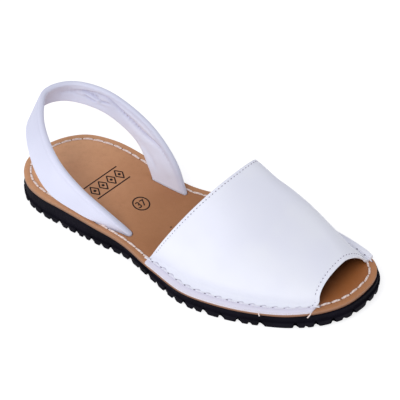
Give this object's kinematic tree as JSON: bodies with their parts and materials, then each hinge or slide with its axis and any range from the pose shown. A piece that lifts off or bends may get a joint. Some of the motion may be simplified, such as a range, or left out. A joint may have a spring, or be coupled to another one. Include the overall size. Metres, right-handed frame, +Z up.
{
  "type": "avarca sandal",
  "caption": "Right-foot avarca sandal: lugged rubber outsole, flat leather insole, white open-toe vamp with stitched-down flange and a folded heel strap through slits.",
  "frame": {"origin": "middle of the shoe's length and width, on the floor plane under the lugs", "axes": "+X from heel to toe, +Y to the medial side, +Z up"},
  "size_m": [0.2534, 0.1024, 0.0683],
  "materials": {
    "rubber": "matte",
    "tan_leather": "satin",
    "white_leather": "satin"
  },
  "bodies": {
    "root": {"outsole": "rubber", "insole": "tan_leather", "vamp": "white_leather", "heel_strap": "white_leather"}
  },
  "joints": []
}
